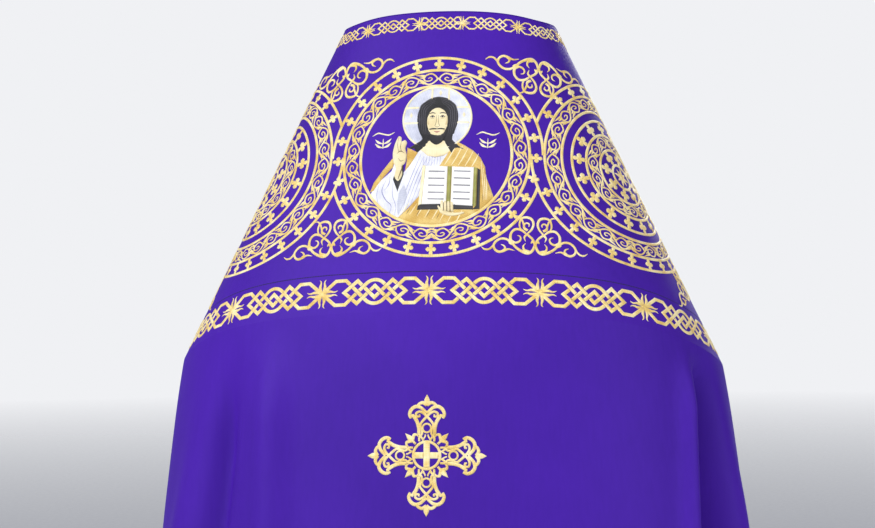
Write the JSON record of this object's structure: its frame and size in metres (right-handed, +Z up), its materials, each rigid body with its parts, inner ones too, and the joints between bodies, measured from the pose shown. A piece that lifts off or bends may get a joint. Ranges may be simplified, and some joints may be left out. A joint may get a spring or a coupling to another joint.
{
  "type": "chasuble",
  "caption": "Conical stiff-yoked church chasuble with a low front neckline, long back, short front, embroidered medallions, borders and cross, and cloth panels that swing out.",
  "frame": {"origin": "at the level of the back hem, under the middle of the whole outline as the chasuble hangs on a wearer", "axes": "+Z up, -Y towards the embroidered back, +Y towards the short front, -X towards the wearer's left"},
  "size_m": [0.9738, 0.6199, 1.4816],
  "materials": {
    "outer_cloth": "fine twill with a soft sheen",
    "lining_cloth": "smooth satin lining",
    "interlining": "matt felted stiffener",
    "gold_thread": "satin-stitched metallic thread",
    "picture_threads": "fine mixed embroidery threads",
    "loop_cord": "flat braided cord"
  },
  "bodies": {
    "yoke": {"yoke_cover": "outer_cloth", "yoke_stiffener": "interlining", "yoke_lining": "lining_cloth", "neck_binding": "outer_cloth", "neck_facing": "outer_cloth", "border_strip": "outer_cloth", "neck_band_embroidery": "gold_thread", "border_band_embroidery": "gold_thread", "back_medallion_embroidery": "gold_thread", "icon_patch": "picture_threads", "left_shoulder_medallion": "gold_thread", "right_shoulder_medallion": "gold_thread", "left_front_medallion": "gold_thread", "right_front_medallion": "gold_thread", "upper_scroll_embroidery": "gold_thread", "lower_scroll_embroidery": "gold_thread"},
    "back_drape": {"back_panel": "outer_cloth", "back_lining": "lining_cloth", "back_hem_band": "gold_thread", "back_cross": "gold_thread", "back_star": "gold_thread"},
    "left_drape": {"left_panel": "outer_cloth", "left_lining": "lining_cloth", "left_hem_band": "gold_thread"},
    "right_drape": {"right_panel": "outer_cloth", "right_lining": "lining_cloth", "right_hem_band": "gold_thread"},
    "front_drape": {"front_panel": "outer_cloth", "front_lining": "lining_cloth", "front_hem_band": "gold_thread"},
    "loop": {"hanger_loop": "loop_cord"}
  },
  "joints": [
    {"name": "back_lift", "type": "hinge", "parent": "yoke", "child": "back_drape", "pos_m": [0, -0.13976, 1.11784], "axis": [-1, 0, 0], "range_deg": [0, 20]},
    {"name": "left_lift", "type": "hinge", "parent": "yoke", "child": "left_drape", "pos_m": [-0.33449, 0.03917, 1.04583], "axis": [0, 0.9699, -0.2435], "range_deg": [0, 40]},
    {"name": "right_lift", "type": "hinge", "parent": "yoke", "child": "right_drape", "pos_m": [0.33449, 0.03917, 1.04583], "axis": [0, -0.9699, 0.2435], "range_deg": [0, 40]},
    {"name": "front_lift", "type": "hinge", "parent": "yoke", "child": "front_drape", "pos_m": [0, 0.26912, 0.97592], "axis": [1, 0, 0], "range_deg": [0, 40]},
    {"name": "loop_flip", "type": "hinge", "parent": "yoke", "child": "loop", "pos_m": [0, 0.00788, 1.46619], "axis": [1, 0, 0], "range_deg": [0, 120]}
  ]
}
